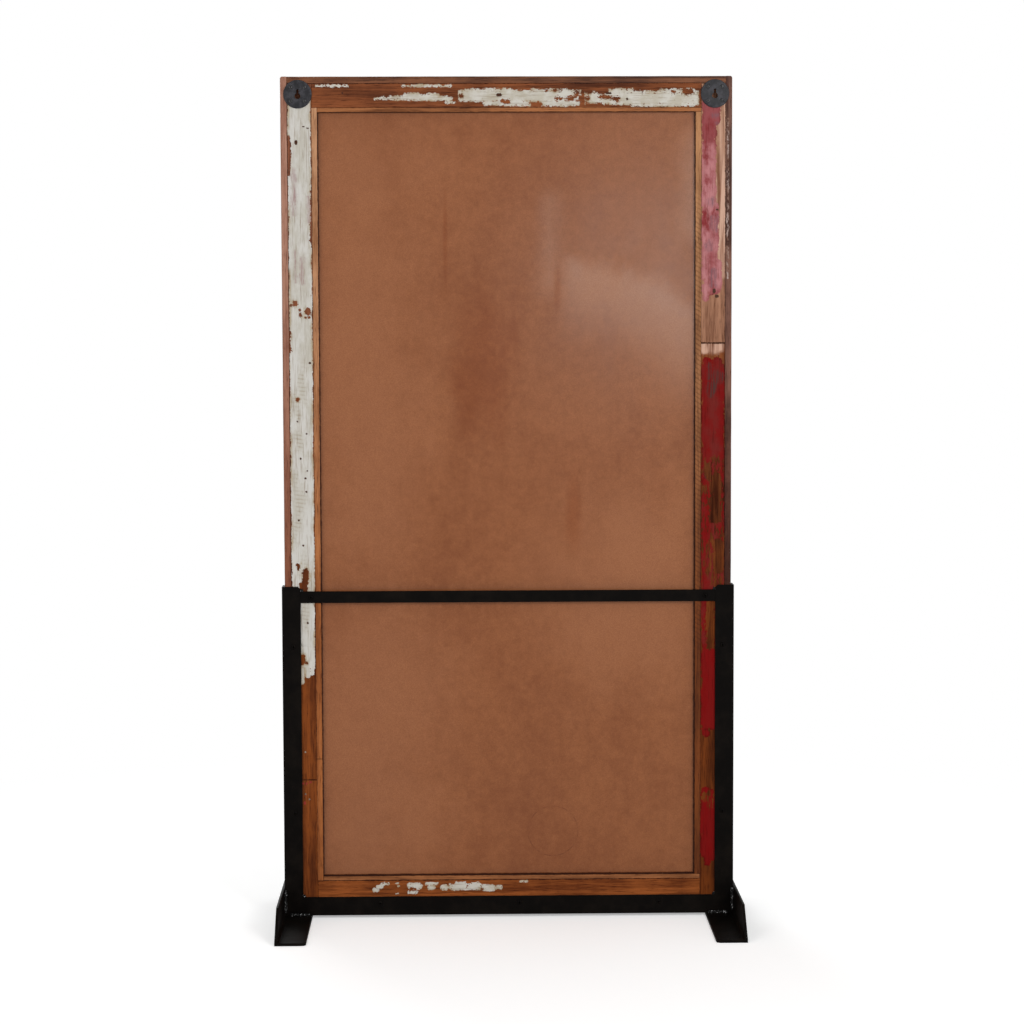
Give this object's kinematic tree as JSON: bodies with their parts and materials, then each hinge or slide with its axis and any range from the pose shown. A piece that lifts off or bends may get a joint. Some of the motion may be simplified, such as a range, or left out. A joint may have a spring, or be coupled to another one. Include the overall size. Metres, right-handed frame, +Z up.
{
  "type": "floor mirror",
  "caption": "Tall rectangular floor mirror: a rebated plank frame round a glass, held in a welded angle-steel stand with long feet, with keyhole plates on its back.",
  "frame": {"origin": "on the floor, in the middle of the feet's footprint", "axes": "+Z up from the floor; the glass faces -Y, and +Y points to the back that carries the keyhole plates"},
  "size_m": [0.979, 0.46, 1.798],
  "materials": {
    "bare_wood": "worn bare reclaimed wood",
    "white_paint": "worn white paint on wood",
    "red_paint": "worn red paint on wood",
    "faded_red_paint": "faded red paint on wood",
    "rim_wood": "smooth oiled wood",
    "bead_wood": "sawn wood",
    "hardboard": "smooth hardboard",
    "mirror": "silvered glass",
    "black_steel": "satin black",
    "grey_steel": "dark grey matt",
    "bright_steel": "drawn wire"
  },
  "bodies": {
    "root": {"left_stile_upper": "faded_red_paint", "left_stile_lower": "red_paint", "right_stile_upper": "white_paint", "right_stile_lower": "bare_wood", "top_rail": "bare_wood", "bottom_rail": "bare_wood", "left_rim": "rim_wood", "right_rim": "rim_wood", "top_rim": "rim_wood", "bottom_rim": "rim_wood", "left_bead": "bead_wood", "right_bead": "bead_wood", "top_bead": "bead_wood", "bottom_bead": "bead_wood", "back_panel": "hardboard", "mirror_glass": "mirror", "splice_dowels": "bead_wood", "bead_pins": "bright_steel", "left_hanger_plate": "grey_steel", "right_hanger_plate": "grey_steel", "hanger_screws": "grey_steel", "left_upright": "black_steel", "right_upright": "black_steel", "shelf_rail": "black_steel", "cross_bar": "black_steel", "left_foot": "black_steel", "right_foot": "black_steel", "foot_welds": "black_steel", "cross_bar_welds": "black_steel", "shelf_welds": "black_steel", "upright_screws": "black_steel", "cross_bar_screws": "black_steel", "shelf_screws": "black_steel"}
  },
  "joints": []
}
